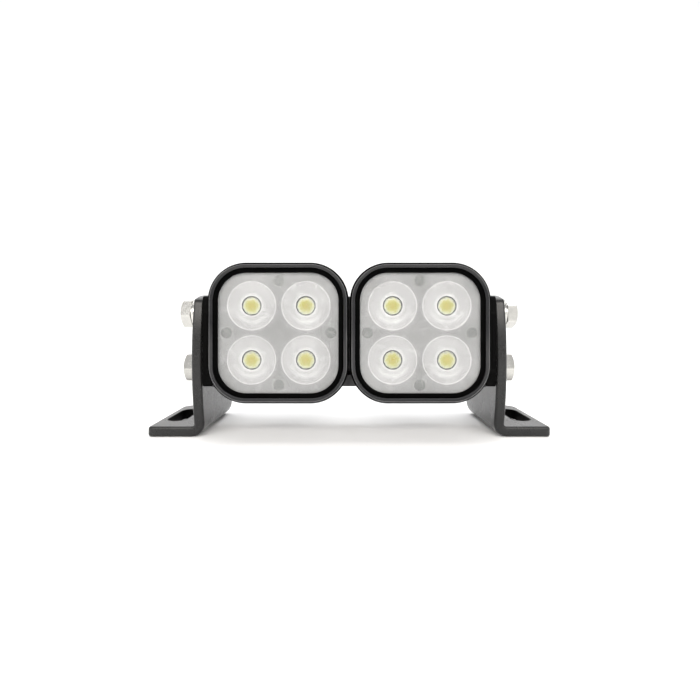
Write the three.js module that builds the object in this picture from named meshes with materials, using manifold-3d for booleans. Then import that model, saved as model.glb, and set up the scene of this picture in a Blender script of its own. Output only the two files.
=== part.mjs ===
// LED fog light: two square four-LED modules side by side, joined by a link block and held between
// two L-shaped side brackets. The lamp tilts about its two lower side bolts, and its two upper side
// bolts slide in an arc slot in each bracket.
//
// Millimetres. X runs across the lamp, the light shines along -Y, Z is up, and the origin is on the
// mounting surface, under the middle of the lamp. Everything is drawn once, for the +X side, and the
// -X side is its mirror image. A module's own pieces are drawn about the middle of its face, with +X
// outwards, to the bracket, and -X inwards, to the other module.

import * as THREE from "three";
import { mergeVertices } from "three/addons/utils/BufferGeometryUtils.js";
import Module from "manifold-3d";

const wasm = await Module();
wasm.setup();

// ---------------------------------------------------------------- driving dimensions

const GAP = 0.3; // between pieces that touch, and round a shank in its hole
const FINE = 10; // segments in each curve of the large outlines

const MODULE_PITCH = 64.8;
const MODULE_HEIGHT = 50.6; // middle of a module's face above the mounting surface
const SIDES = [
  { name: "left", sign: -1 },
  { name: "right", sign: 1 },
];

// A module's stack, from the front to the back.
const BEZEL = { front: -33, back: -25.05, half: 32.15, corner: 17.5 };
const WINDOW = { half: 27.5, corner: 13 }; // the bezel's opening
const RING_WIDTH = 2.3; // the bezel's raised outer ring
const RING_STEP = 0.8;
const LIP_BACK = -31.7; // back of the bezel's lip, where the lens is clamped
const SPIGOT = { half: 28.2, corner: 13.7 }; // what fits inside the bezel, from lens to housing
const LENS = { front: -32.1, flange: -31.4, back: -30.7 };
const GASKET_WIDTH = 1.1;
const GASKET = { front: -28.7, back: -27.95 };
const OPTIC = { front: -30.4, plateBack: -29, back: -17.9 };
const LED_OFFSET = 12.45; // half the pitch of the four LEDs
const COLLIMATOR = { front: 11.4, back: 4.6, pocket: 3.4, pocketDepth: 3.6 };
const POST = { offset: 24, radius: 2.6 };
const BOARD = { front: -15.8, back: -14.3, half: 24.3, corner: 11 };
const LED = { size: 5, base: 0.8, dome: 2.3, front: -18.5 };

const HOUSING_FRONT = -27.65;
const FLANGE = { front: -24.75, back: -21.4, half: 31.9, corner: 17.4 };
const BODY = { back: -3.5, half: 28.5, corner: 16 };
const CAVITY = { floor: -14, half: 24.7, corner: 11.5 };
const PAD = { face: 32.05, thick: 4.2, back: 10, top: 17.2, bottom: -25.9, innerBottom: -17.1 };
const FIN = { count: 10, thick: 1.8, pitch: 6, back: 13 };
const DRIVER_BOX = { halfX: 20, halfZ: 18, wall: 3, floor: -9.5, back: 14 };
const COVER = { front: 14.3, back: 16.6, corner: 4 };
const INLET = { z: -4, back: 33, flange: 2.2, halfX: 7.5, halfZ: 6, wall: 1.5 };
const VENT = { z: 11.2, radius: 4.6, length: 2.4 };

const BEZEL_SCREW = { offset: 25.75, shank: 1, head: 1.9, headLength: 1.65, tip: -28.6 };
const COVER_SCREW = { x: 15.5, z: 13.5, shank: 1.2, head: 2.4, headLength: 1.6, tip: 6 };
const COVER_BOSS = 3.2; // radius of the pillar round each cover screw
const BOARD_REST = { half: 6, z: 14, thick: 2.4 }; // ribs that the driver board stands on
const BOLT_BLOCK = { inner: 18.9, hole: 19.3, back: -1.5 }; // the thick wall that the side bolts enter
const LINK_PAD = { side: -23.5, front: -8, top: -14 }; // the boss that the link screws enter

// The bracket and its bolts, from the lamp outwards.
const PLATE = 5; // thickness of the bracket's plate
const LEG_INNER = 69.7;
const FOOT_END = 97.2;
const FOOT = { front: -21.2, back: 28.6 };
const LEG_FRONT = -25; // where the leg's bowed front edge reaches furthest
const BEND = 1.5; // inner bend radius
const SLOT = { x: 88.5, width: 8.6, length: 26 };
const PIVOT = { y: -8.3, z: 32.3 };
const AIM_RADIUS = 27.2; // upper bolt to lower bolt
const TOP_RADIUS = 36.4; // the leg's top edge, about the pivot
const AIM_UP = 30; // degrees of tilt that the arc slot allows
const AIM_DOWN = 12;
const BOLT = { shank: 4, hole: 4.45, flats: 13, head: 5.3, length: 24.2 };
const LOCK_WASHER = { radius: 7.4, thick: 1.6, split: 1.1 };
const FLAT_WASHER = { radius: 8, thick: 1.2 };

const LINK = { half: 8, noseHalf: 4.2, top: 30, bottom: 24.5, front: -21.2, shoulder: -18.4 };
const WEB = { half: 1, front: -24.4, top: 67.6, bottom: 33.7, root: -12 }; // between the modules
const LINK_SCREW = { x: 4.8, y: [-2, 6], shank: 1.5, head: 2.4, headLength: 1.8, tip: 36.5 };

const moduleX = MODULE_PITCH / 2;
const legOuter = LEG_INNER + PLATE;
const aimZ = PIVOT.z + AIM_RADIUS;
const padTopZ = MODULE_HEIGHT + PAD.top;
const padBottomZ = MODULE_HEIGHT + PAD.bottom;

// ---------------------------------------------------------------- materials

const finish = (color, roughness, metalness, opacity = 1) =>
  new THREE.MeshStandardMaterial({
    color,
    roughness,
    metalness,
    opacity,
    transparent: opacity < 1,
  });

const castBlack = finish(0x1b1b1d, 0.5, 0.6);
const bezelBlack = finish(0x1f1f21, 0.4, 0);
const bracketBlack = finish(0x2a2a2c, 0.42, 0.5);
const blockBlack = finish(0x0d0d0e, 0.35, 0);
const stainless = finish(0xd8d6d0, 0.25, 1);
const screwBlack = finish(0x2c2c2e, 0.35, 0.9);
const clearLens = finish(0xf4f7f8, 0.05, 0, 0.3);
const clearOptic = finish(0xe6e9ea, 0.15, 0, 0.6);
const siliconeBlack = finish(0x141414, 0.8, 0);
const boardWhite = finish(0xe2e4e2, 0.5, 0);
const phosphor = finish(0xe6d667, 0.3, 0);
const boardGreen = finish(0x1d5a34, 0.5, 0);
const moulding = finish(0x161617, 0.55, 0);
const ventGrey = finish(0x4a4b4d, 0.6, 0);

// ---------------------------------------------------------------- solids

// A closed geometry as a manifold-3d solid, turned round if its faces point inwards.
function solid(geometry) {
  const bare = geometry.index ? geometry.toNonIndexed() : geometry;
  const merged = mergeVertices(
    new THREE.BufferGeometry().setAttribute("position", bare.getAttribute("position")),
    1e-4,
  );
  const vertProperties = merged.attributes.position.array;
  const triVerts = new Uint32Array(merged.index.array);
  const made = new wasm.Manifold(new wasm.Mesh({ numProp: 3, vertProperties, triVerts }));
  if (made.volume() > 0) return made;
  for (let i = 0; i < triVerts.length; i += 3) {
    triVerts.subarray(i, i + 3).reverse();
  }
  return new wasm.Manifold(new wasm.Mesh({ numProp: 3, vertProperties, triVerts }));
}

function geometryOf(made) {
  const { numProp, vertProperties, triVerts } = made.getMesh();
  const positions = new Float32Array((vertProperties.length / numProp) * 3);
  for (let i = 0; i < positions.length / 3; i++) {
    positions.set(vertProperties.subarray(i * numProp, i * numProp + 3), i * 3);
  }
  const geometry = new THREE.BufferGeometry();
  geometry.setAttribute("position", new THREE.BufferAttribute(positions, 3));
  geometry.setIndex(new THREE.BufferAttribute(triVerts, 1));
  geometry.computeVertexNormals();
  return geometry;
}

const join = (...parts) => parts.reduce((a, b) => a.add(b));
const cut = (body, ...tools) => tools.reduce((a, b) => a.subtract(b), body);

function box([x0, x1], [y0, y1], [z0, z1]) {
  const geometry = new THREE.BoxGeometry(x1 - x0, y1 - y0, z1 - z0);
  return solid(geometry.translate((x0 + x1) / 2, (y0 + y1) / 2, (z0 + z1) / 2));
}

// Round rods along each axis; `at` is the other two coordinates.
function rodX(radius, [x0, x1], [y, z], segments = 14) {
  const geometry = new THREE.CylinderGeometry(radius, radius, x1 - x0, segments);
  return solid(geometry.rotateZ(Math.PI / 2).translate((x0 + x1) / 2, y, z));
}

function rodY(radius, [y0, y1], [x, z], segments = 12) {
  const geometry = new THREE.CylinderGeometry(radius, radius, y1 - y0, segments);
  return solid(geometry.translate(x, (y0 + y1) / 2, z));
}

function rodZ(radius, [z0, z1], [x, y], segments = 12) {
  const geometry = new THREE.CylinderGeometry(radius, radius, z1 - z0, segments);
  return solid(geometry.rotateX(Math.PI / 2).translate(x, y, (z0 + z1) / 2));
}

// A flat shape drawn in two of the axes and extruded along the third.
const extrude = (shape, depth, curveSegments) =>
  new THREE.ExtrudeGeometry(shape, { depth, curveSegments, bevelEnabled: false });

// Drawn in X and Z.
const slabY = (shape, [y0, y1], curveSegments = 4) =>
  solid(extrude(shape, y1 - y0, curveSegments).rotateX(Math.PI / 2).translate(0, y1, 0));

// Drawn in Y and Z.
const slabX = (shape, [x0, x1], curveSegments = 5) =>
  solid(
    extrude(shape, x1 - x0, curveSegments)
      .rotateY(Math.PI / 2)
      .rotateX(Math.PI / 2)
      .translate(x0, 0, 0),
  );

// Drawn in X and Y.
const slabZ = (shape, [z0, z1], curveSegments = 5) =>
  solid(extrude(shape, z1 - z0, curveSegments).translate(0, 0, z0));

// ---------------------------------------------------------------- outlines

// A rectangle with round corners, about (cx, cy).
function roundedRect(halfX, halfY, radius, cx = 0, cy = 0) {
  const shape = new THREE.Shape();
  const corners = [
    [1, 1],
    [-1, 1],
    [-1, -1],
    [1, -1],
  ];
  corners.forEach(([sx, sy], i) => {
    const x = cx + sx * (halfX - radius);
    const y = cy + sy * (halfY - radius);
    shape.absarc(x, y, radius, (i * Math.PI) / 2, ((i + 1) * Math.PI) / 2, false);
  });
  return shape.closePath();
}

const square = ({ half, corner }) => roundedRect(half, half, corner);
const inset = ({ half, corner }, by) => ({ half: half - by, corner: corner - by });

// A slot with round ends, along the circle of `radius` about (cx, cy), between two angles.
function arcSlot(cx, cy, radius, halfWidth, from, to) {
  const end = (angle) => [cx + radius * Math.cos(angle), cy + radius * Math.sin(angle)];
  const shape = new THREE.Shape();
  shape.absarc(cx, cy, radius + halfWidth, from, to, false);
  shape.absarc(...end(to), halfWidth, to, to + Math.PI, false);
  shape.absarc(cx, cy, radius - halfWidth, to, from, true);
  shape.absarc(...end(from), halfWidth, from + Math.PI, from + 2 * Math.PI, false);
  return shape.closePath();
}

// ---------------------------------------------------------------- fasteners

// A round-headed screw along +Y, its head's underside at `seat` and its shank towards -Y.
function screwY({ shank, head, headLength, tip }, seat, at) {
  const socket = rodY(head * 0.5, [seat + headLength * 0.45, seat + headLength + 1], at, 6);
  const top = rodY(head, [seat, seat + headLength], at, 10);
  return cut(join(top, rodY(shank, [tip, seat + 0.1], at, 8)), socket);
}

// A hexagon-headed bolt along X, its head's underside at `seat` and its shank inwards.
function hexBolt(seat, [y, z], turn) {
  const acrossCorners = BOLT.flats / Math.sqrt(3);
  const flat = BOLT.flats / 2;
  const prism = new THREE.CylinderGeometry(acrossCorners, acrossCorners, BOLT.head, 6);
  const hexagon = solid(prism.rotateY(turn).rotateZ(Math.PI / 2));
  // The turned blank that leaves the chamfer on the head's corners.
  const chamfer = (acrossCorners - flat) * Math.tan(Math.PI / 6) + 0.15;
  const blank = new THREE.LatheGeometry(
    [
      new THREE.Vector2(0, -BOLT.head / 2),
      new THREE.Vector2(acrossCorners + 0.1, -BOLT.head / 2),
      new THREE.Vector2(acrossCorners + 0.1, BOLT.head / 2 - chamfer),
      new THREE.Vector2(flat - 0.2, BOLT.head / 2),
      new THREE.Vector2(0, BOLT.head / 2),
    ],
    18,
  );
  const head = hexagon.intersect(solid(blank.rotateZ(-Math.PI / 2)));
  const placed = head.translate([seat + BOLT.head / 2, y, z]);
  return join(placed, rodX(BOLT.shank, [seat - BOLT.length, seat + 0.1], [y, z]));
}

function washer(radius, [x0, x1], at) {
  return cut(rodX(radius, [x0, x1], at, 18), rodX(BOLT.hole - 0.1, [x0 - 1, x1 + 1], at));
}

function lockWasher([x0, x1], [y, z]) {
  const { radius, split } = LOCK_WASHER;
  const slit = box([x0 - 1, x1 + 1], [y - split / 2, y + split / 2], [z, z + radius + 1]);
  return cut(washer(radius, [x0, x1], [y, z]), slit);
}

// ---------------------------------------------------------------- one module

const cornerScrews = [
  [1, 1],
  [-1, 1],
  [-1, -1],
  [1, -1],
].map(([sx, sz]) => [sx * BEZEL_SCREW.offset, sz * BEZEL_SCREW.offset]);

const ledPlaces = [
  [-1, 1],
  [1, 1],
  [-1, -1],
  [1, -1],
].map(([sx, sz]) => [sx * LED_OFFSET, sz * LED_OFFSET]);

const postPlaces = [
  [POST.offset, 0],
  [0, POST.offset],
  [-POST.offset, 0],
  [0, -POST.offset],
];

// The black front frame: a raised outer ring, a lower inner ring, and a skirt round the lens.
function bezel() {
  const outer = slabY(square(BEZEL), [BEZEL.front, BEZEL.back], 6);
  const ring = slabY(square(inset(BEZEL, RING_WIDTH)), [
    BEZEL.front - 1,
    BEZEL.front + RING_STEP,
  ]);
  const opening = slabY(square(WINDOW), [BEZEL.front - 1, BEZEL.back + 1]);
  const skirt = slabY(square(inset(BEZEL, 3.6)), [LIP_BACK, BEZEL.back + 1]);
  const holes = cornerScrews.map((at) =>
    rodY(BEZEL_SCREW.shank + GAP, [BEZEL_SCREW.tip - GAP, BEZEL.back + 1], at, 8),
  );
  return cut(outer, ring, opening, skirt, ...holes);
}

// The clear cover: a flange under the bezel's lip, and a pad that fills the opening.
function lens() {
  const flange = slabY(square(SPIGOT), [LENS.flange, LENS.back]);
  const pad = slabY(square(inset(WINDOW, GAP)), [LENS.front, LENS.flange + 0.1]);
  return join(flange, pad);
}

function lensGasket() {
  const hole = slabY(square(inset(SPIGOT, GASKET_WIDTH)), [GASKET.front - 1, GASKET.back + 1]);
  return cut(slabY(square(SPIGOT), [GASKET.front, GASKET.back]), hole);
}

// One moulding: a plate with four collimators on its back, and four posts that set its height.
function optic() {
  const { front, back, pocket, pocketDepth } = COLLIMATOR;
  const plate = slabY(square(SPIGOT), [OPTIC.front, OPTIC.plateBack]);
  const depth = OPTIC.back - OPTIC.plateBack;
  const flare = new THREE.QuadraticBezierCurve(
    new THREE.Vector2(front, OPTIC.plateBack),
    new THREE.Vector2(front - 1.2, OPTIC.plateBack + depth * 0.6),
    new THREE.Vector2(back, OPTIC.back),
  );
  const profile = [
    new THREE.Vector2(0, OPTIC.plateBack - 0.1),
    new THREE.Vector2(front, OPTIC.plateBack - 0.1),
    ...flare.getPoints(3),
    new THREE.Vector2(pocket, OPTIC.back),
    new THREE.Vector2(pocket - 0.4, OPTIC.back - pocketDepth),
    new THREE.Vector2(0, OPTIC.back - pocketDepth + 1),
  ];
  const cone = solid(new THREE.LatheGeometry(profile, 14));
  const cones = ledPlaces.map(([x, z]) => cone.translate([x, 0, z]));
  const posts = postPlaces.map((at) =>
    rodY(POST.radius, [OPTIC.plateBack - 0.1, BOARD.front - GAP], at, 8),
  );
  return join(plate, ...cones, ...posts);
}

const ledBoard = () => slabY(square(BOARD), [BOARD.front, BOARD.back]);

// A ceramic base with a flattened dome over the die.
function led([x, z]) {
  const half = LED.size / 2;
  const seat = BOARD.front - GAP;
  const base = box([x - half, x + half], [seat - LED.base, seat], [z - half, z + half]);
  const height = seat - LED.base - LED.front;
  const dome = new THREE.SphereGeometry(LED.dome, 10, 6).scale(1, height / LED.dome, 1);
  const keep = box([x - half, x + half], [LED.front - 1, seat - LED.base + 0.2], [z - half, z + half]);
  return join(base, solid(dome).translate([x, seat - LED.base, z]).intersect(keep));
}

// The die-cast body: spigot and flange, side pads, LED cavity, driver box and cooling fins.
function housing() {
  const { halfX, halfZ, wall, floor, back } = DRIVER_BOX;
  const spigot = slabY(square(SPIGOT), [HOUSING_FRONT, FLANGE.front + 0.1]);
  const flange = slabY(square(FLANGE), [FLANGE.front, FLANGE.back], FINE);
  const body = slabY(square(BODY), [FLANGE.back - 0.1, BODY.back], FINE);

  const outline = slabY(square(BODY), [BODY.back - 1, FIN.back], FINE);
  const fins = Array.from({ length: FIN.count }, (_, i) => {
    const x = (i - (FIN.count - 1) / 2) * FIN.pitch;
    const reach = [-BODY.half - 1, BODY.half + 1];
    return box([x - FIN.thick / 2, x + FIN.thick / 2], [BODY.back - 1, FIN.back], reach);
  });
  const finPack = join(...fins).intersect(outline);
  const driverBox = slabY(roundedRect(halfX, halfZ, COVER.corner), [BODY.back - 1, back], 6);

  const padFace = [PAD.face - PAD.thick, PAD.face];
  const innerFace = [-PAD.face, -PAD.face + PAD.thick];
  const outerPad = box(padFace, [FLANGE.front, PAD.back], [PAD.bottom, PAD.top]);
  const innerPad = box(innerFace, [FLANGE.front, PAD.back], [PAD.innerBottom, PAD.top]);
  const boltBlock = box([BOLT_BLOCK.inner, PAD.face], [CAVITY.floor, BOLT_BLOCK.back], [
    PAD.bottom,
    PAD.top,
  ]);
  const linkPadBottom = LINK.top + GAP - MODULE_HEIGHT;
  const linkPad = box([-PAD.face, LINK_PAD.side], [LINK_PAD.front, PAD.back], [
    linkPadBottom,
    LINK_PAD.top,
  ]);

  const cast = join(
    spigot, flange, body, finPack, driverBox, outerPad, innerPad, boltBlock, linkPad,
  );

  const cavity = slabY(square(CAVITY), [HOUSING_FRONT - 1, CAVITY.floor]);
  const postPockets = postPlaces.map((at) =>
    rodY(POST.radius + GAP, [HOUSING_FRONT - 1, CAVITY.floor], at, 8),
  );

  const restZ = [-BOARD_REST.thick / 2, BOARD_REST.thick / 2];
  const driverSpace = cut(
    box([wall - halfX, halfX - wall], [floor, back + 1], [wall - halfZ, halfZ - wall]),
    ...[1, -1].map((s) =>
      rodY(COVER_BOSS, [floor - 1, back + 2], [s * COVER_SCREW.x, s * COVER_SCREW.z], 8),
    ),
    ...[1, -1].map((s) =>
      box([-BOARD_REST.half, BOARD_REST.half], [floor - 1, -GAP], restZ.map((z) => s * BOARD_REST.z + z)),
    ),
  );
  const coverHoles = [1, -1].map((s) => {
    const at = [s * COVER_SCREW.x, s * COVER_SCREW.z];
    return rodY(COVER_SCREW.shank + GAP, [COVER_SCREW.tip - 1, back + 1], at, 8);
  });

  const screwHoles = cornerScrews.map((at) =>
    rodY(BEZEL_SCREW.shank + GAP, [HOUSING_FRONT - 1, FLANGE.back + 1], at, 8),
  );
  const headChannels = cornerScrews.map((at) =>
    rodY(BEZEL_SCREW.head + 0.6, [FLANGE.back, PAD.back + 1], at, 8),
  );

  const pivotAt = [PIVOT.y, PIVOT.z - MODULE_HEIGHT];
  const aimAt = [PIVOT.y, aimZ - MODULE_HEIGHT];
  const boltHoles = [pivotAt, aimAt].map((at) =>
    rodX(BOLT.shank + GAP, [BOLT_BLOCK.hole, PAD.face + 1], at),
  );

  const linkNotch = box([-PAD.face - 1, LINK.half - moduleX + GAP], [FLANGE.back, FIN.back + 1], [
    -BODY.half - 1,
    linkPadBottom,
  ]);
  const webX = WEB.half + GAP - moduleX;
  const webNotch = box([-PAD.face - 1, webX], [FLANGE.front - 1, PAD.back + 1], [
    -BODY.half,
    WEB.top + GAP - MODULE_HEIGHT,
  ]);
  const linkHoles = LINK_SCREW.y.map((y) =>
    rodZ(LINK_SCREW.shank + GAP, [-BODY.half, LINK_SCREW.tip + 1 - MODULE_HEIGHT], [
      LINK_SCREW.x - moduleX,
      y,
    ], 8),
  );

  return cut(
    cast,
    cavity, ...postPockets,
    driverSpace, ...coverHoles,
    ...screwHoles, ...headChannels, ...boltHoles,
    webNotch, linkNotch, ...linkHoles,
  );
}

// The driver's circuit board with its choke, capacitor and regulator.
function driverBoard() {
  const board = box([-11.2, 11.2], [0, 1.6], [-14.6, 14.6]);
  const choke = rodY(4, [1.5, 6.5], [-4.5, -7], 10);
  const capacitor = rodY(2.6, [1.5, 8.5], [6, -8], 8);
  const regulator = box([-3.5, 3.5], [1.5, 3.6], [3, 11]);
  return join(board, choke, capacitor, regulator);
}

function rearCover() {
  const { halfX, halfZ } = DRIVER_BOX;
  const plate = slabY(roundedRect(halfX, halfZ, COVER.corner), [COVER.front, COVER.back], 6);
  const through = [COVER.front - 1, COVER.back + 1];
  const screws = [1, -1].map((s) =>
    rodY(COVER_SCREW.shank + GAP, through, [s * COVER_SCREW.x, s * COVER_SCREW.z], 8),
  );
  return cut(
    plate,
    rodY(5.9, through, [0, INLET.z], 12),
    rodY(2.7, through, [0, VENT.z], 8),
    ...screws,
  );
}

// A two-pin plug-in power inlet: flange, shroud, pins, and a tail through the cover.
function powerInlet() {
  const { z, flange, halfX, halfZ, wall, back } = INLET;
  const seat = COVER.back + GAP;
  const floor = seat + flange;
  const tail = rodY(5.6, [COVER.front - 2.5, seat + 0.1], [0, z]);
  const base = slabY(roundedRect(halfX + 2.5, halfZ + 1.5, 2.5, 0, z), [seat, floor], 3);
  const shroud = cut(
    slabY(roundedRect(halfX, halfZ, 3, 0, z), [floor - 0.1, back], 3),
    slabY(roundedRect(halfX - wall, halfZ - wall, 1.8, 0, z), [floor, back + 1], 3),
  );
  const pins = [-2.6, 2.6].map((x) => rodY(0.8, [floor - 0.1, floor + 6], [x, z], 8));
  return join(tail, base, shroud, ...pins);
}

// A membrane vent that lets the lamp breathe: a knurled cap on a stem through the cover.
function breatherVent() {
  const seat = COVER.back + GAP;
  const cap = rodY(VENT.radius, [seat, seat + VENT.length], [0, VENT.z], 14);
  const dish = rodY(VENT.radius - 1.4, [seat + VENT.length - 0.6, seat + VENT.length + 1], [
    0,
    VENT.z,
  ], 14);
  const stem = rodY(2.4, [COVER.front - 2, seat + 0.1], [0, VENT.z], 8);
  return cut(join(cap, stem), dish);
}

// ---------------------------------------------------------------- one end, in the lamp's frame

// The circle through three points, as a centre and a radius.
function circleThrough(a, b, c) {
  const d = 2 * (a.x * (b.y - c.y) + b.x * (c.y - a.y) + c.x * (a.y - b.y));
  const [a2, b2, c2] = [a, b, c].map((p) => p.lengthSq());
  const x = (a2 * (b.y - c.y) + b2 * (c.y - a.y) + c2 * (a.y - b.y)) / d;
  const y = (a2 * (c.x - b.x) + b2 * (a.x - c.x) + c2 * (b.x - a.x)) / d;
  return { x, y, radius: Math.hypot(a.x - x, a.y - y) };
}

// The leg and foot seen from the side, in Y and Z: a bowed front edge, a top edge that is an arc
// about the pivot, and a rounded back.
function legOutline() {
  const bottom = new THREE.Vector2(FOOT.front, PLATE);
  const widest = new THREE.Vector2(LEG_FRONT, PIVOT.z + 2);
  const top = new THREE.Vector2(LEG_FRONT + 2.7, PIVOT.z + 31);
  const front = circleThrough(bottom, widest, top);
  const angleOf = (p) => Math.atan2(front.y - p.y, front.x - p.x) + Math.PI;
  const toRad = THREE.MathUtils.degToRad;
  const onTop = (degrees) => [
    PIVOT.y + TOP_RADIUS * Math.cos(toRad(degrees)),
    PIVOT.z + TOP_RADIUS * Math.sin(toRad(degrees)),
  ];
  const frontEnd = 108; // where the top arc meets the front corner
  const backEnd = 30; // and the back curve

  const shape = new THREE.Shape();
  shape.moveTo(FOOT.back, 0);
  shape.lineTo(FOOT.back, PLATE);
  shape.bezierCurveTo(FOOT.back + 6, 17, FOOT.back + 3.6, 38, ...onTop(backEnd));
  shape.absarc(PIVOT.y, PIVOT.z, TOP_RADIUS, toRad(backEnd), toRad(frontEnd), false);
  shape.quadraticCurveTo(LEG_FRONT + 3, PIVOT.z + 34.6, top.x, top.y);
  shape.absarc(front.x, front.y, front.radius, angleOf(top), angleOf(bottom), false);
  shape.lineTo(FOOT.front, 0);
  return shape.closePath();
}

// The bent plate seen from the front, in X and Z.
function bendProfile(topZ) {
  const outerBend = BEND + PLATE;
  const shape = new THREE.Shape();
  shape.moveTo(FOOT_END, 0);
  shape.lineTo(FOOT_END, PLATE);
  shape.lineTo(legOuter + BEND, PLATE);
  shape.absarc(legOuter + BEND, PLATE + BEND, BEND, 1.5 * Math.PI, Math.PI, true);
  shape.lineTo(legOuter, topZ);
  shape.lineTo(LEG_INNER, topZ);
  shape.lineTo(LEG_INNER, outerBend);
  shape.absarc(LEG_INNER + outerBend, outerBend, outerBend, Math.PI, 1.5 * Math.PI, false);
  return shape.closePath();
}

// The foot seen from above, with its outer corners rounded.
function footOutline() {
  const [front, back] = [1.2, 6];
  const shape = new THREE.Shape();
  shape.moveTo(LEG_INNER - 1, LEG_FRONT - 1);
  shape.lineTo(legOuter + 1, LEG_FRONT - 1);
  shape.lineTo(legOuter + 1, FOOT.front);
  shape.lineTo(FOOT_END - front, FOOT.front);
  shape.absarc(FOOT_END - front, FOOT.front + front, front, -Math.PI / 2, 0, false);
  shape.absarc(FOOT_END - back, FOOT.back - back, back, 0, Math.PI / 2, false);
  shape.lineTo(legOuter + 1, FOOT.back);
  shape.lineTo(legOuter + 1, FOOT.back + 8);
  shape.lineTo(LEG_INNER - 1, FOOT.back + 8);
  return shape.closePath();
}

function bracket() {
  const topZ = PIVOT.z + TOP_RADIUS + 1;
  const bent = slabY(bendProfile(topZ), [LEG_FRONT - 1, FOOT.back + 7], 8);
  const leg = slabX(legOutline(), [LEG_INNER - 1, FOOT_END + 1], 2 * FINE);
  const foot = slabZ(footOutline(), [-1, topZ + 1], 6);
  const slotEnd = SLOT.width / 2 - 0.01; // just short of a half circle, so the sides stay straight
  const footMiddle = (FOOT.front + FOOT.back) / 2;
  const mountingSlot = slabZ(
    roundedRect(SLOT.width / 2, SLOT.length / 2, slotEnd, SLOT.x, footMiddle),
    [-1, PLATE + 1],
    FINE,
  );
  const slack = 0.5; // degrees that the arc slot is longer, past each limit
  const aimSlot = arcSlot(
    PIVOT.y, PIVOT.z, AIM_RADIUS, BOLT.hole,
    THREE.MathUtils.degToRad(90 - AIM_UP - slack),
    THREE.MathUtils.degToRad(90 + AIM_DOWN + slack),
  );
  return cut(
    bent.intersect(leg).intersect(foot),
    mountingSlot,
    slabX(aimSlot, [LEG_INNER - 1, legOuter + 1], FINE),
    rodX(BOLT.hole, [LEG_INNER - 1, legOuter + 1], [PIVOT.y, PIVOT.z]),
  );
}

// The spacer between the module's pad and the bracket, ribbed at the front at each bolt's height.
function endBlock() {
  const reach = [moduleX + PAD.face + GAP, LEG_INNER - GAP];
  const halfY = (PAD.back - FLANGE.front) / 2;
  const halfZ = (padTopZ - padBottomZ) / 2;
  const middle = [(PAD.back + FLANGE.front) / 2, (padTopZ + padBottomZ) / 2];
  const slab = slabX(roundedRect(halfY, halfZ, 2, ...middle), reach, 3);
  const ribs = [PIVOT.z, aimZ].map((z) => rodX(1.5, reach, [FLANGE.front + 0.9, z], 10));
  const holes = [PIVOT.z, aimZ].map((z) =>
    rodX(BOLT.shank + GAP, [reach[0] - 1, reach[1] + 1], [PIVOT.y, z]),
  );
  return cut(join(slab, ...ribs), ...holes);
}

// ---------------------------------------------------------------- the middle

// The block under the joint between the two modules: a narrow nose shows between them, and a web
// stands up behind it and fills the gap between their inner pads.
function linkBlock() {
  const height = [LINK.bottom, LINK.top];
  const nose = box([-LINK.noseHalf, LINK.noseHalf], [LINK.front, LINK.shoulder + 1], height);
  const plate = box([-LINK.half, LINK.half], [LINK.shoulder, PAD.back], height);
  const web = box([-WEB.half, WEB.half], [WEB.front, PAD.back], [WEB.bottom, WEB.top]);
  const root = box([-WEB.half, WEB.half], [WEB.root, PAD.back], [LINK.top - 1, WEB.bottom + 1]);
  const holes = SIDES.flatMap(({ sign }) =>
    LINK_SCREW.y.map((y) =>
      rodZ(LINK_SCREW.shank + GAP, [LINK.bottom - 1, LINK.top + 1], [sign * LINK_SCREW.x, y], 8),
    ),
  );
  return cut(join(nose, plate, web, root), ...holes);
}

function linkScrew(x, y) {
  const seat = LINK.bottom - GAP;
  const { shank, head, headLength, tip } = LINK_SCREW;
  const top = rodZ(head, [seat - headLength, seat], [x, y], 10);
  const socket = rodZ(head * 0.5, [seat - headLength - 1, seat - headLength * 0.45], [x, y], 6);
  return cut(join(top, rodZ(shank, [seat - 0.1, tip], [x, y], 8)), socket);
}

// ---------------------------------------------------------------- assembly

const modulePieces = [
  ["housing", housing(), castBlack],
  ["bezel", bezel(), bezelBlack],
  ["lens", lens(), clearLens],
  ["lens_gasket", lensGasket(), siliconeBlack],
  ["optic", optic(), clearOptic],
  ["led_board", ledBoard(), boardWhite],
  ...ledPlaces.map((at, i) => [`led_${i + 1}`, led(at), phosphor]),
  ["driver_board", driverBoard(), boardGreen],
  ["rear_cover", rearCover(), castBlack],
  ["power_inlet", powerInlet(), moulding],
  ["breather_vent", breatherVent(), ventGrey],
  ...cornerScrews.map((at, i) => [
    `bezel_screw_${i + 1}`,
    screwY(BEZEL_SCREW, FLANGE.back + GAP, at),
    screwBlack,
  ]),
  ...[1, -1].map((s, i) => [
    `cover_screw_${i + 1}`,
    screwY(COVER_SCREW, COVER.back + GAP, [s * COVER_SCREW.x, s * COVER_SCREW.z]),
    screwBlack,
  ]),
];

const lockSeat = legOuter + GAP;
const lockFace = lockSeat + LOCK_WASHER.thick;
const flatFace = lockSeat + FLAT_WASHER.thick;
const aimLockFace = flatFace + GAP + LOCK_WASHER.thick;
const pivotAt = [PIVOT.y, PIVOT.z];
const aimAt = [PIVOT.y, aimZ];

const endPieces = [
  ["bracket", bracket(), bracketBlack],
  ["end_block", endBlock(), blockBlack],
  ["pivot_bolt", hexBolt(lockFace + GAP, pivotAt, Math.PI / 6), stainless],
  ["pivot_lock_washer", lockWasher([lockSeat, lockFace], pivotAt), stainless],
  ["aim_bolt", hexBolt(aimLockFace + GAP, aimAt, 0), stainless],
  ["aim_lock_washer", lockWasher([flatFace + GAP, aimLockFace], aimAt), stainless],
  ["aim_flat_washer", washer(FLAT_WASHER.radius, [lockSeat, flatFace], aimAt), stainless],
];

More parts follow.
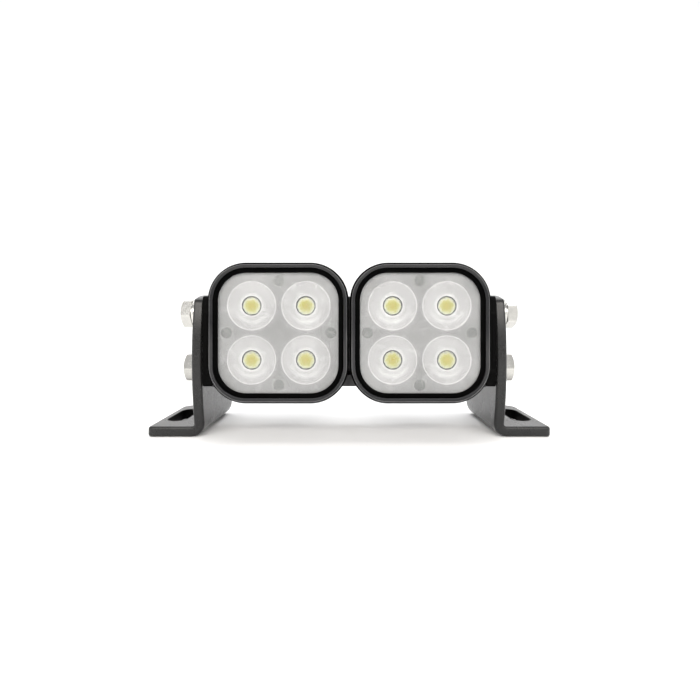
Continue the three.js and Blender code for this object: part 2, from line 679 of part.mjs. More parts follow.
const middlePieces = [
  ["link_block", linkBlock(), castBlack],
  ...SIDES.flatMap(({ name, sign }) =>
    LINK_SCREW.y.map((y, i) => [
      `${name}_link_screw_${i + 1}`,
      linkScrew(sign * LINK_SCREW.x, y),
      screwBlack,
    ]),
  ),
];

function meshes(pieces, prefix) {
  return pieces.map(([name, made, material]) => {
    const mesh = new THREE.Mesh(geometryOf(made), material);
    mesh.name = prefix + name;
    return mesh;
  });
}

const fogLight = new THREE.Group();
for (const { name, sign } of SIDES) {
  const lampModule = new THREE.Group();
  lampModule.position.set(sign * moduleX, 0, MODULE_HEIGHT);
  lampModule.scale.x = sign;
  lampModule.add(...meshes(modulePieces, `${name}_`));
  const end = new THREE.Group();
  end.scale.x = sign;
  end.add(...meshes(endPieces, `${name}_`));
  fogLight.add(lampModule, end);
}
fogLight.add(...meshes(middlePieces, ""));

export default fogLight;
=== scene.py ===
"""LED fog light: two square modules between two slotted side brackets. Blender 4.5, metres."""

import math

import bmesh
import bpy
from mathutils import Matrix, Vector
from mathutils.geometry import delaunay_2d_cdt

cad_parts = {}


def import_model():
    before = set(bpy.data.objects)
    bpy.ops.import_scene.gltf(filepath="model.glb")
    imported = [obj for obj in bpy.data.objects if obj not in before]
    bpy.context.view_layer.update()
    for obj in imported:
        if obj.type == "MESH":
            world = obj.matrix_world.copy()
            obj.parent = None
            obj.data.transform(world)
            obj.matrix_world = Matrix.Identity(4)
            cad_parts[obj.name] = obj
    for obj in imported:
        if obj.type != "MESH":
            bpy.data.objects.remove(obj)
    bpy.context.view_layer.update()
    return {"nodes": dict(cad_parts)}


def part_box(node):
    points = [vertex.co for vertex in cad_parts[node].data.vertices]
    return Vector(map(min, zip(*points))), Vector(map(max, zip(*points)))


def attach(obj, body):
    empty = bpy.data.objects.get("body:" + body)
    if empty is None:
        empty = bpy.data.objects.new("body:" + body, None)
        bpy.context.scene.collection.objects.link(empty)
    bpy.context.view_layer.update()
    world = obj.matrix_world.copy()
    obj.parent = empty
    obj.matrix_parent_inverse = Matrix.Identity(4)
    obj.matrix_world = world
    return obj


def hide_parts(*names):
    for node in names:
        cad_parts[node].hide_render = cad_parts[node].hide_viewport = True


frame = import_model()

MM = 0.001
SIDES = (("left", -1), ("right", 1))
CORNER_SEGMENTS = 20
LED_OFFSET = 12.45 * MM  # half the pitch of a module's four LEDs
WELL = 4.3 * MM  # radius of the well over an LED
POST_OFFSET = 24 * MM
BEZEL_CORNER = 17.5 * MM
SPIGOT_CORNER = 13.7 * MM
SAME = 1e-7  # metres: points closer than this are at the same height


# ---------------------------------------------------------------- node materials

def hash_seed(name):
    """A fixed number for each material, so that no two share a pattern."""
    return sum((i + 1) * ord(c) for i, c in enumerate(name)) % 97


class Nodes:
    """A material under construction: one Principled shader and the nodes that feed it."""

    def __init__(self, name, **sockets):
        self.material = bpy.data.materials.new(name)
        self.material.use_nodes = True
        self.tree = self.material.node_tree
        self.shader = self.tree.nodes["Principled BSDF"]
        self.seed = hash_seed(name)
        self.coord = self.tree.nodes.new("ShaderNodeTexCoord").outputs["Object"]
        for socket, value in sockets.items():
            self.shader.inputs[socket.replace("_", " ")].default_value = value

    def link(self, a, b):
        self.tree.links.new(a, b)

    def noise(self, scale, detail=4.0, rough=0.55, vector=None):
        node = self.tree.nodes.new("ShaderNodeTexNoise")
        node.inputs["Scale"].default_value = scale
        node.inputs["Detail"].default_value = detail
        node.inputs["Roughness"].default_value = rough
        self.link(vector or self.shifted(), node.inputs["Vector"])
        return node.outputs["Fac"]

    def shifted(self, scale=(1, 1, 1)):
        node = self.tree.nodes.new("ShaderNodeMapping")
        node.inputs["Location"].default_value = (self.seed, self.seed * 0.37, 0)
        node.inputs["Scale"].default_value = scale
        self.link(self.coord, node.inputs["Vector"])
        return node.outputs["Vector"]

    def math(self, operation, a, b=None, clamp=False):
        node = self.tree.nodes.new("ShaderNodeMath")
        node.operation = operation
        node.use_clamp = clamp
        for socket, value in zip(node.inputs, (a, b)):
            if value is None:
                continue
            if isinstance(value, (int, float)):
                socket.default_value = value
            else:
                self.link(value, socket)
        return node.outputs["Value"]

    def spread(self, value, low, high, from_low=0.0, from_high=1.0):
        """Maps from_low..from_high onto low..high, and holds it there outside them."""
        node = self.tree.nodes.new("ShaderNodeMapRange")
        self.link(value, node.inputs["Value"])
        for socket, number in zip(
            ("From Min", "From Max", "To Min", "To Max"), (from_low, from_high, low, high)
        ):
            node.inputs[socket].default_value = number
        return node.outputs["Result"]

    def ramp(self, value, stops):
        node = self.tree.nodes.new("ShaderNodeValToRGB")
        elements = node.color_ramp.elements
        while len(elements) < len(stops):
            elements.new(0.5)
        for element, (place, color) in zip(elements, stops):
            element.position = place
            element.color = (*color, 1) if hasattr(color, "__len__") else (color,) * 3 + (1,)
        self.link(value, node.inputs["Fac"])
        return node.outputs["Color"]

    def mix(self, factor, a, b, blend="MIX"):
        node = self.tree.nodes.new("ShaderNodeMix")
        node.data_type = "RGBA"
        node.blend_type = blend
        for socket, value in ((node.inputs[0], factor), (node.inputs[6], a), (node.inputs[7], b)):
            if isinstance(value, (int, float)):
                socket.default_value = value
            elif isinstance(value, tuple):
                socket.default_value = (*value, 1)
            else:
                self.link(value, socket)
        return node.outputs[2]

    def edges(self):
        """How worn an edge is: 1 on sharp outer edges, 0 elsewhere."""
        pointiness = self.tree.nodes.new("ShaderNodeNewGeometry").outputs["Pointiness"]
        return self.spread(pointiness, 0.0, 1.0, 0.52, 0.6)

    def bump(self, height, strength, distance):
        node = self.tree.nodes.new("ShaderNodeBump")
        node.inputs["Strength"].default_value = strength
        node.inputs["Distance"].default_value = distance
        self.link(height, node.inputs["Height"])
        self.link(node.outputs["Normal"], self.shader.inputs["Normal"])

    def grey(self, value):
        node = self.tree.nodes.new("ShaderNodeCombineColor")
        for socket in node.inputs:
            self.link(value, socket)
        return node.outputs["Color"]

    def set(self, socket, value):
        self.link(value, self.shader.inputs[socket])


def coated(name, color, rough, grain_scale, grain, dust=0.003, worn=0.25, vary=0.06, **sockets):
    """Powder coat, cast skin or moulded plastic: fine grain, dust, handling marks and rubbed edges."""
    n = Nodes(name, **sockets)
    cloud = n.noise(38, 5, 0.6)
    fine = n.noise(grain_scale, 2, 0.5)
    lifted = tuple(c + dust for c in color)
    base = n.mix(n.spread(cloud, 0, 1, 0.35, 0.7), color, lifted)
    rub = n.math("MULTIPLY", n.edges(), n.spread(n.noise(260, 3), 0, 1, 0.42, 0.62))
    base = n.mix(n.math("MULTIPLY", rub, worn), base, tuple(min(1, c * 3 + 0.12) for c in color))
    n.set("Base Color", base)
    wear = n.spread(n.noise(90, 4), rough - vary, rough + vary, 0.3, 0.7)
    n.set("Roughness", n.math("ADD", wear, n.spread(fine, -0.03, 0.03), True))
    n.bump(fine, 0.25, grain)
    return n.material


def plain_steel(name, color, rough, scratch=0.2):
    """Turned and rolled steel: fine lines, a few darker spots, brighter edges."""
    n = Nodes(name, Metallic=1.0)
    lines = n.noise(160, 3, 0.6, n.shifted((40, 3, 3)))
    cloud = n.noise(120, 4)
    dark = tuple(c * 0.78 for c in color)
    base = n.mix(n.spread(cloud, 0, 1, 0.35, 0.7), dark, color)
    worn = tuple(min(0.9, c * 1.3 + 0.01) for c in color)
    base = n.mix(n.math("MULTIPLY", n.edges(), 0.5), base, worn)
    n.set("Base Color", base)
    n.set("Roughness", n.spread(lines, rough - 0.06, rough + 0.08, 0.3, 0.7))
    n.bump(lines, scratch, 0.00002)
    return n.material


def about_axis(n, centre):
    """Where a point is on a module's face, in metres, folded about the face's middle.

    First X and Z from the nearest of the four beam axes, then the larger and the smaller of its
    distances from the middle in X and Z."""
    split = n.tree.nodes.new("ShaderNodeSeparateXYZ")
    n.link(n.coord, split.inputs["Vector"])
    x = n.math("SUBTRACT", split.outputs["X"], centre[0])
    z = n.math("SUBTRACT", split.outputs["Z"], centre[1])
    across, up = n.math("ABSOLUTE", x), n.math("ABSOLUTE", z)
    dx = n.math("SUBTRACT", across, LED_OFFSET)
    dz = n.math("MULTIPLY", n.math("SUBTRACT", up, LED_OFFSET), n.math("SIGN", z))
    return dx, dz, n.math("MAXIMUM", across, up), n.math("MINIMUM", across, up)


def length_of(n, a, b):
    """The length of the vector (a, b)."""
    return n.math("SQRT", n.math("ADD", n.math("MULTIPLY", a, a), n.math("MULTIPLY", b, b)))


def band(n, value, middle, half_width):
    """1 at the middle of a band, falling to 0 at its edges."""
    away = n.math("ABSOLUTE", n.math("SUBTRACT", value, middle))
    return n.spread(away, 1.0, 0.0, 0.0, half_width)


def optic_material(name, centre):
    """Moulded clear optic over a white board, with the light through it painted in: painted halo and dark
    shade ring at each well, pale disc, painted bright rim line, grey cloudy plate.
    """
    n = Nodes(name, IOR=1.49, Specular_IOR_Level=0.35)
    dx, dz, outward, inward = about_axis(n, centre)
    r = length_of(n, dx, dz)
    unit = 14 * MM
    # Painted light and shade by radius: a dark shade ring at the well's edge, a bright halo round it, and a
    # bright line at the rim.
    disc = n.ramp(n.math("MULTIPLY", r, 1 / unit), [
        (0.000, 0.22),
        (0.296, 0.22),
        (0.302, 0.07),
        (0.318, 0.08),
        (0.330, 0.44),
        (0.370, 0.38),
        (0.440, 0.312),
        (0.600, 0.300),
        (0.768, 0.290),
        (0.782, 0.40),
        (0.800, 0.40),
        (0.816, 0.215),
        (0.880, 0.185),
        (1.000, 0.170),
    ])
    # Painted light: the lower half of each disc carries a pale crescent, and under it the mark of the mould's
    # gate, painted pale as light catches it.
    below = n.spread(dz, 1.0, 0.0, -6.5 * MM, -1.0 * MM)
    crescent = n.math("MULTIPLY", band(n, r, 7.4 * MM, 1.7 * MM), below)
    slope = n.math("MULTIPLY", n.math("ADD", dz, 9.0 * MM), 0.5)
    stroke = band(n, n.math("ABSOLUTE", dx), 0.0, 0.35 * MM)
    fork = n.math("ABSOLUTE", n.math("SUBTRACT", n.math("ABSOLUTE", dx), slope))
    fork = n.math("MULTIPLY", n.spread(fork, 1.0, 0.0, 0.0, 0.4 * MM), band(n, dz, -7.7 * MM, 1.4 * MM))
    gate_glint = n.math("MAXIMUM", fork, n.math("MULTIPLY", stroke, band(n, dz, -9.4 * MM, 1.0 * MM)))
    pale = n.math("MAXIMUM", n.math("MULTIPLY", crescent, 0.6), n.math("MULTIPLY", gate_glint, 0.65))
    disc = n.mix(pale, disc, (0.46, 0.46, 0.46))
    # Painted light: the plate grows lighter towards its outer edge, where the clear moulding carries light
    # under the bezel.
    off_discs = n.spread(r, 0.0, 1.0, 0.82 * unit, 0.9 * unit)
    rim = n.math("MULTIPLY", n.spread(outward, 0.0, 1.0, 20 * MM, 27.5 * MM), off_discs)
    disc = n.mix(n.math("MULTIPLY", rim, 0.35), disc, (0.27, 0.275, 0.275))
    # The four posts show through the plate as painted darker rounds with a painted highlight round their
    # edge.
    post = length_of(n, n.math("SUBTRACT", outward, POST_OFFSET), inward)
    disc = n.mix(n.spread(post, 1, 0, 2.45 * MM, 2.7 * MM), disc, (0.118, 0.123, 0.118))
    disc = n.mix(n.math("MULTIPLY", band(n, post, 2.85 * MM, 0.22 * MM), 0.4), disc, (0.3, 0.3, 0.3))
    shade = n.spread(n.noise(75, 5, 0.6), 0.88, 1.1, 0.3, 0.7)
    n.set("Base Color", n.mix(1.0, disc, n.grey(shade), "MULTIPLY"))
    n.set("Roughness", n.spread(n.noise(300, 3), 0.16, 0.32, 0.3, 0.7))
    n.bump(n.noise(420, 3), 0.12, 0.00003)
    return n.material


def window_material():
    """The phosphor as its optic magnifies it: amber die in the middle, pale lemon round it, and painted shade
    darkening its rim where the well's wall shades it.
    """
    n = Nodes("phosphor_window", Coat_Weight=0.3, Coat_Roughness=0.05)
    split = n.tree.nodes.new("ShaderNodeSeparateXYZ")
    n.link(n.coord, split.inputs["Vector"])
    x, z = split.outputs["X"], split.outputs["Z"]
    wobble = n.spread(n.noise(900, 3), -0.0005, 0.0005, 0.3, 0.7)
    r = n.math("MULTIPLY", n.math("ADD", length_of(n, x, z), wobble), 1 / WELL)
    color = n.ramp(r, [
        (0.00, (0.29, 0.235, 0.030)),
        (0.20, (0.26, 0.225, 0.028)),
        (0.38, (0.275, 0.255, 0.045)),
        (0.58, (0.29, 0.285, 0.085)),
        (0.78, (0.34, 0.35, 0.20)),
        (0.89, (0.34, 0.36, 0.27)),
        (0.96, (0.14, 0.145, 0.125)),
        (1.00, (0.085, 0.085, 0.075)),
    ])
    # Painted shadow: the well's upper wall shades the top of the window, painted as a soft dark arc.
    painted_shadow_arc = n.math("MULTIPLY", n.spread(r, 0, 1, 0.68, 0.92), n.spread(z, 0, 1, 0.1 * WELL, 0.8 * WELL))
    color = n.mix(n.math("MULTIPLY", painted_shadow_arc, 0.7), color, (0.07, 0.068, 0.05))
    n.set("Base Color", color)
    n.set("Roughness", n.spread(n.noise(500, 2), 0.14, 0.3))
    n.bump(n.noise(700, 3), 0.2, 0.00004)
    return n.material


def clear_material():
    """Clear cover: mostly see-through, with faint haze and fine scratches."""
    n = Nodes("clear_cover", IOR=1.5, Coat_Weight=0.3, Coat_Roughness=0.04)
    haze = n.noise(60, 4)
    n.set("Base Color", n.mix(n.spread(haze, 0, 1, 0.3, 0.7), (0.80, 0.82, 0.82), (0.9, 0.91, 0.91)))
    n.set("Alpha", n.spread(haze, 0.03, 0.06, 0.3, 0.7))
    n.set("Roughness", n.spread(n.noise(220, 4), 0.04, 0.12, 0.3, 0.7))
    n.bump(n.noise(500, 2), 0.05, 0.00002)
    n.material.surface_render_method = "BLENDED"
    return n.material


def board_material(name, mask, pattern):
    """Circuit board: solder mask with faint tracks and pads."""
    n = Nodes(name)
    cells = n.tree.nodes.new("ShaderNodeTexVoronoi")
    cells.inputs["Scale"].default_value = pattern
    n.link(n.shifted((1, 0.1, 1)), cells.inputs["Vector"])
    tracks = n.spread(cells.outputs["Distance"], 1, 0, 0.06, 0.2)
    n.set("Base Color", n.mix(n.math("MULTIPLY", tracks, 0.5), mask, (0.75, 0.7, 0.5)))
    n.set("Roughness", n.spread(n.noise(200, 3), 0.32, 0.5))
    n.bump(tracks, 0.3, 0.00004)
    return n.material


CAST = coated("cast_black", (0.010, 0.010, 0.011), 0.42, 1500, 0.00006, Specular_IOR_Level=0.4)
BEZEL = coated("bezel_black", (0.005, 0.005, 0.006), 0.15, 2600, 0.00001, worn=0.4,
               Specular_IOR_Level=0.42)
# Painted shade: a near-black copy of the bezel black with no reflection, for the bezel's outer edge and inner
# lip.
LIP = coated("bezel_lip", (0.0015, 0.0015, 0.0015), 0.45, 2600, 0.00002, dust=0.0005, worn=0.02,
             Specular_IOR_Level=0.0)
# Painted highlight: a glossier copy of the bezel black whose edges are strongly lifted, for the ridge's
# bright line.
RIDGE = coated("bezel_ridge", (0.008, 0.008, 0.009), 0.10, 2600, 0.000005, worn=0.6,
               Specular_IOR_Level=0.85, Coat_Weight=0.6, Coat_Roughness=0.06)
PLATE = coated("bracket_black", (0.007, 0.007, 0.007), 0.28, 1900, 0.000006, dust=0.001, vary=0.02,
               Specular_IOR_Level=0.36, Sheen_Weight=0.18, Sheen_Roughness=0.35)
# Near-black and almost without reflection; on the brackets it is painted shade inside the holes.
BLOCK = coated("block_black", (0.001, 0.001, 0.001), 0.5, 2200, 0.00002, dust=0.0005, worn=0.03,
               Specular_IOR_Level=0.03)
NYLON = coated("moulding_black", (0.012, 0.012, 0.013), 0.5, 2400, 0.00003, worn=0.1)
VENT = coated("vent_grey", (0.06, 0.06, 0.065), 0.55, 1700, 0.00003, dust=0.01)
RUBBER = coated("silicone_black", (0.01, 0.01, 0.01), 0.7, 1200, 0.00005, worn=0.0)
OXIDE = plain_steel("screw_black", (0.045, 0.045, 0.048), 0.42, 0.1)
STEEL = plain_steel("bolt_steel", (0.62, 0.61, 0.58), 0.2)
CLEAR = clear_material()
WINDOW = window_material()
PHOSPHOR = coated("phosphor", (0.72, 0.58, 0.12), 0.3, 900, 0.00003, dust=0.05)
WHITE_BOARD = board_material("board_white", (0.74, 0.75, 0.73), 260)
GREEN_BOARD = board_material("board_green", (0.02, 0.12, 0.04), 420)


# ---------------------------------------------------------------- meshes

def new_object(name, mesh, material, node, body="lamp"):
    """A visual piece that stands in for a CAD node and moves with its body."""
    obj = bpy.data.objects.new(name, mesh)
    bpy.context.scene.collection.objects.link(obj)
    mesh.materials.clear()
    mesh.materials.append(material)
    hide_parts(node)
    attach(obj, body)
    return obj


def mesh_of(name, bm, smooth_degrees=35):
    bmesh.ops.recalc_face_normals(bm, faces=bm.faces)
    mesh = bpy.data.meshes.new(name)
    bm.to_mesh(mesh)
    bm.free()
    mesh.shade_smooth()
    mesh.set_sharp_from_angle(angle=math.radians(smooth_degrees))
    return mesh


def join(bm, a, b):
    """Joins two equal closed loops of vertices with quads."""
    for i in range(len(a)):
        j = (i + 1) % len(a)
        bm.faces.new((a[i], a[j], b[j], b[i]))


def skin(bm, loops, closed=True):
    """Joins equal loops of points with quads; closed joins the last to the first."""
    rings = [[bm.verts.new(p) for p in loop] for loop in loops]
    for a, b in zip(rings, rings[1:] + rings[:1] if closed else rings[1:]):
        join(bm, a, b)
    return rings


def square_loop(half, corner, y, centre):
    """A rounded square in X and Z about centre, at depth y."""
    points = []
    for quarter in range(4):
        start = quarter * math.pi / 2
        sx = 1 if quarter in (0, 3) else -1
        sz = 1 if quarter in (0, 1) else -1
        for i in range(CORNER_SEGMENTS + 1):
            a = start + i * (math.pi / 2) / CORNER_SEGMENTS
            x = sx * (half - corner) + corner * math.cos(a)
            z = sz * (half - corner) + corner * math.sin(a)
            points.append(Vector((centre[0] + x, y, centre[1] + z)))
    return points


def disc_loop(radius, y, centre, count):
    """A circle in X and Z about centre, at depth y."""
    return [
        Vector((centre[0] + radius * math.cos(a), y, centre[1] + radius * math.sin(a)))
        for a in (i * math.tau / count for i in range(count))
    ]


def copy_of(node):
    """The CAD node's own shape, with its triangles merged back into flat faces."""
    bm = bmesh.new()
    bm.from_mesh(frame["nodes"][node].data)
    bmesh.ops.remove_doubles(bm, verts=bm.verts, dist=0.01 * MM)
    bmesh.ops.dissolve_limit(
        bm, angle_limit=math.radians(1.5), verts=bm.verts, edges=bm.edges, use_dissolve_boundaries=False
    )
    return mesh_of(node + "_look", bm)


def finish_copy(node, material, width):
    """The CAD node's shape with its edges rounded by width, shaded flat between them."""
    obj = new_object(node + "_look", copy_of(node), material, node)
    edge = obj.modifiers.new("edge", "BEVEL")
    edge.width = width
    edge.segments = 2
    edge.limit_method = "ANGLE"
    edge.angle_limit = math.radians(40)
    edge.harden_normals = False
    edge.use_clamp_overlap = True
    edge.miter_outer = "MITER_ARC"
    obj.modifiers.new("flat", "WEIGHTED_NORMAL").keep_sharp = True


# ---------------------------------------------------------------- the modules' faces

# The bezel's section: millimetres in from its outer edge, and back from its front.
BEZEL_SECTION = [
    (0, 1.6), (0.03, 1.2), (0.12, 0.85), (0.28, 0.52), (0.48, 0.28), (0.66, 0.14), (0.78, 0.05),
    (0.86, 0.0), (0.95, 0.02), (1.03, 0.12), (1.12, 0.16), (2.1, 0.16), (2.3, 0.2), (2.42, 0.34),
    (2.5, 0.8), (2.6, 0.92), (2.85, 0.92), (2.95, 0.8), (3.05, 0.5), (3.2, 0.44), (3.4, 0.46),
    (3.6, 0.52), (4.3, 0.8), (4.55, 0.92), (4.65, 1.02), (4.65, 1.3),
]
# Its rows of faces, counted inwards from the side wall, which is row 0.
EDGE_ROWS = range(1, 7)  # the outer edge, in the painted-shade copy of the black
RIDGE_ROWS = range(7, 11)  # the ridge next to it, in the painted-highlight copy
LIP_ROW = 15  # where the groove and the inner lip begin, both in the painted-shade copy
LIP_BACK = 1.3 * MM
SKIRT = 3.6 * MM  # thickness of the side wall behind the lip
CLIP_PITCH = 9.1 * MM
CLIP_INSET = 2.72 * MM  # from the bezel's outer edge to the middle of the groove


def middle_of(node):
    """The node's middle in X and Z, half its width, and its front and back."""
    low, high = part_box(node)
    centre = ((low.x + high.x) / 2, (low.z + high.z) / 2)
    return centre, (high.x - low.x) / 2, low.y, high.y


def bezel(side):
    centre, half, front, back = middle_of(f"{side}_bezel")
    profile = [(0, back)] + [(d * MM, front + y * MM) for d, y in BEZEL_SECTION]
    profile += [(SKIRT, front + LIP_BACK), (SKIRT, back)]
    bm = bmesh.new()
    skin(bm, [square_loop(half - d, BEZEL_CORNER - d, y, centre) for d, y in profile])
    # Small clips in the groove, top and bottom.
    for z_sign in (1, -1):
        for x in (-CLIP_PITCH, 0, CLIP_PITCH):
            add_wedge(bm, centre[0] + x, centre[1] + z_sign * (half - CLIP_INSET), front)
    mesh = mesh_of(f"{side}_bezel_look", bm, 30)
    new_object(f"{side}_bezel_look", mesh, BEZEL, f"{side}_bezel")
    mesh.materials.append(LIP)
    mesh.materials.append(RIDGE)
    ring = 4 * (CORNER_SEGMENTS + 1)
    # Faces of the outer edge and the lip take the painted-shade copy; the ridge takes the painted-highlight
    # copy.
    for face in mesh.polygons:
        row = min(face.vertices) // ring
        if row >= LIP_ROW or row in EDGE_ROWS:
            face.material_index = 1
        elif row in RIDGE_ROWS:
            face.material_index = 2


def add_wedge(bm, x, z, front):
    """A small peaked clip across the groove."""
    points = [(-0.75, 0.9, -0.3), (0.75, 0.9, -0.3), (0.75, 0.9, 0.3), (-0.75, 0.9, 0.3)]
    base = [bm.verts.new((x + px * MM, front + py * MM, z + pz * MM)) for px, py, pz in points]
    ridge = [bm.verts.new((x + px * MM, front + 0.4 * MM, z)) for px in (-0.35, 0.35)]
    bm.faces.new((base[0], base[1], ridge[1], ridge[0]))
    bm.faces.new((base[2], base[3], ridge[0], ridge[1]))
    bm.faces.new((base[1], base[2], ridge[1]))
    bm.faces.new((base[3], base[0], ridge[0]))
    bm.faces.new((base[3], base[2], base[1], base[0]))


def lens(side):
    centre, half, front, back = middle_of(f"{side}_lens")
    pad = 1.0 * MM  # the pad is this much smaller than the flange
    rows = [
        (0, back), (0, back - 0.7 * MM), (pad, back - 0.72 * MM), (pad, front + 0.15 * MM),
        (pad + 0.05 * MM, front + 0.05 * MM), (pad + 0.15 * MM, front),
    ]
    loops = [square_loop(half - d, SPIGOT_CORNER - d, y, centre) for d, y in rows]
    bm = bmesh.new()
    rings = skin(bm, loops, closed=False)
    bm.faces.new(rings[-1])
    bm.faces.new(rings[0])
    mesh = mesh_of(f"{side}_lens_look", bm, 30)
    new_object(f"{side}_lens_look", mesh, CLEAR, f"{side}_lens")


# A collimator's front, from its rim in to the well: radius, and depth behind the optic's front.
DISC_FACE = [
    (11.4, 0.05), (11.33, -0.02), (11.2, -0.07), (11.05, -0.03), (10.95, 0.06), (10.75, 0.14),
    (9.0, 0.2), (7.4, 0.16), (6.0, 0.2), (5.2, 0.14), (4.75, 0.08), (4.5, 0.12), (4.36, 0.3),
    (4.3, 0.9), (4.2, 1.05),
]
# Its back, from the plate to the pocket over the LED: radius, and depth behind the plate.
CONE_BACK = [
    (11.4, 0.0), (11.1, 1.8), (10.5, 3.9), (9.2, 6.5), (7.2, 9.0), (4.9, 10.8), (4.6, 11.1),
    (3.6, 11.1), (3.4, 10.9), (3.1, 8.1), (3.0, 7.5),
]
# A post's front and stem, measured in the same two ways.
POST_FACE = [(2.55, 0.05), (2.5, 0.0), (2.38, 0.0), (2.3, 0.07)]
POST_STEM = [(2.6, 0.0), (2.6, 12.6), (2.3, 12.9)]
DISC_COUNT, POST_COUNT = 72, 40  # points round a collimator and round a post


def capped_rings(bm, rows, at, depth, count):
    """Rings about a point, closed by a face at the last; returns the first ring's vertices."""
    rings = skin(bm, [disc_loop(r * MM, depth + y * MM, at, count) for r, y in rows], closed=False)
    bm.faces.new(rings[-1])
    return rings[0]


def fill_between(bm, loops):
    """Fills the flat space between an outer loop and the loops inside it."""
    edges = []
    for loop in loops:
        for a, b in zip(loop, loop[1:] + loop[:1]):
            edges.append(bm.edges.get((a, b)) or bm.edges.new((a, b)))
    bmesh.ops.triangle_fill(bm, use_beauty=True, edges=edges)


def optic(side):
    """One moulding: a plate with four collimators, each with a well over its LED, and four posts."""
    centre, half, front, back = middle_of(f"{side}_optic")
    plate_back = front + 1.4 * MM
    axes = [(centre[0] + i * LED_OFFSET, centre[1] + j * LED_OFFSET) for i in (-1, 1) for j in (-1, 1)]
    posts = [
        (centre[0] + i * POST_OFFSET, centre[1] + j * POST_OFFSET)
        for i, j in ((1, 0), (0, 1), (-1, 0), (0, -1))
    ]
    bm = bmesh.new()
    level = front + 0.05 * MM
    edge = [(0, plate_back), (0, front + 0.25 * MM), (0.2 * MM, level)]
    rings = skin(bm, [square_loop(half - d, SPIGOT_CORNER - d, y, centre) for d, y in edge], closed=False)
    faces = [capped_rings(bm, DISC_FACE, at, front, DISC_COUNT) for at in axes]
    faces += [capped_rings(bm, POST_FACE, at, front, POST_COUNT) for at in posts]
    fill_between(bm, [rings[-1], *faces])
    cones = [capped_rings(bm, CONE_BACK, at, plate_back, DISC_COUNT) for at in axes]
    cones += [capped_rings(bm, POST_STEM, at, plate_back, POST_COUNT) for at in posts]
    fill_between(bm, [rings[0], *cones])
    mesh = mesh_of(f"{side}_optic_look", bm, 30)
    material = optic_material(f"clear_optic_{side}", centre)
    new_object(f"{side}_optic_look", mesh, material, f"{side}_optic")
    for i, at in enumerate(axes):
        window(side, i + 1, at, front)


def window(side, number, at, front):
    """The LED as it looks through its collimator: a low yellow dome in the well."""
    dome = [
        (0.01, 1.0), (4.18, 1.0), (4.18, 0.62), (4.08, 0.42), (3.8, 0.28), (3.2, 0.14), (2.2, 0.02),
        (1.1, -0.03), (0.01, -0.05),
    ]
    name = f"{side}_window_{number}"
    bm = bmesh.new()
    rings = skin(bm, [disc_loop(r * MM, y * MM, (0, 0), 56) for r, y in dome], closed=False)
    bm.faces.new(rings[0])
    bm.faces.new(rings[-1])
    mesh = mesh_of(name, bm, 60)
    mesh.materials.append(WINDOW)
    piece = bpy.data.objects.new(name, mesh)
    bpy.context.scene.collection.objects.link(piece)
    piece.location = (at[0], front, at[1])
    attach(piece, "lamp")


# ---------------------------------------------------------------- brackets

THICK = 5 * MM
ROUND = 1.3 * MM  # radius of the plate's outer edges
HOLE_ROUND = 0.35 * MM  # and of its holes' edges
EDGE_MARGIN = 0.5 * MM  # a narrow flat ring next to them
EDGE_STEPS = 5  # faces across the quarter round
EDGE_RINGS = 2 * (EDGE_STEPS + 2)
BEND = 6.5 * MM  # outer bend radius
FOOT_FRONT, FOOT_BACK = -21.2 * MM, 28.6 * MM
LEG_FRONT = -25 * MM
SLOT_X, SLOT_HALF, SLOT_LENGTH = 88.5 * MM, 4.3 * MM, 26 * MM
BOLT_HOLE = 4.45 * MM  # radius
AIM_DOWN, AIM_UP = 30.5, 12.5  # degrees: the arc slot's reach, half a degree past the tilt's limits


def circle_through(a, b, c):
    """Centre and radius of the circle through three points."""
    d = 2 * (a.x * (b.y - c.y) + b.x * (c.y - a.y) + c.x * (a.y - b.y))
    a2, b2, c2 = a.length_squared, b.length_squared, c.length_squared
    centre = Vector((
        (a2 * (b.y - c.y) + b2 * (c.y - a.y) + c2 * (a.y - b.y)) / d,
        (a2 * (c.x - b.x) + b2 * (a.x - c.x) + c2 * (b.x - a.x)) / d,
    ))
    return centre, (a - centre).length


def on_circle(centre, radius, degrees):
    """The point at that angle on a circle."""
    a = math.radians(degrees)
    return Vector((centre[0] + radius * math.cos(a), centre[1] + radius * math.sin(a)))


def arc(centre, radius, start, end, steps, ends=(True, True)):
    """Points along an arc, angles in degrees; ends says whether it has its first and its last."""
    first, last = 0 if ends[0] else 1, steps + 1 if ends[1] else steps
    return [on_circle(centre, radius, start + (end - start) * i / steps) for i in range(first, last)]


def bezier(points, steps):
    """Points along a cubic curve, without its first."""
    p0, p1, p2, p3 = points
    return [
        p0 * (1 - t) ** 3 + p1 * 3 * t * (1 - t) ** 2 + p2 * 3 * t * t * (1 - t) + p3 * t ** 3
        for t in (i / steps for i in range(1, steps + 1))
    ]


def evenly(points, spacing):
    """Adds points along a closed outline, wherever two are further apart than the spacing."""
    out = []
    for a, b in zip(points, points[1:] + points[:1]):
        steps = max(1, round((b - a).length / spacing))
        out += [a.lerp(b, i / steps) for i in range(steps)]
    return out


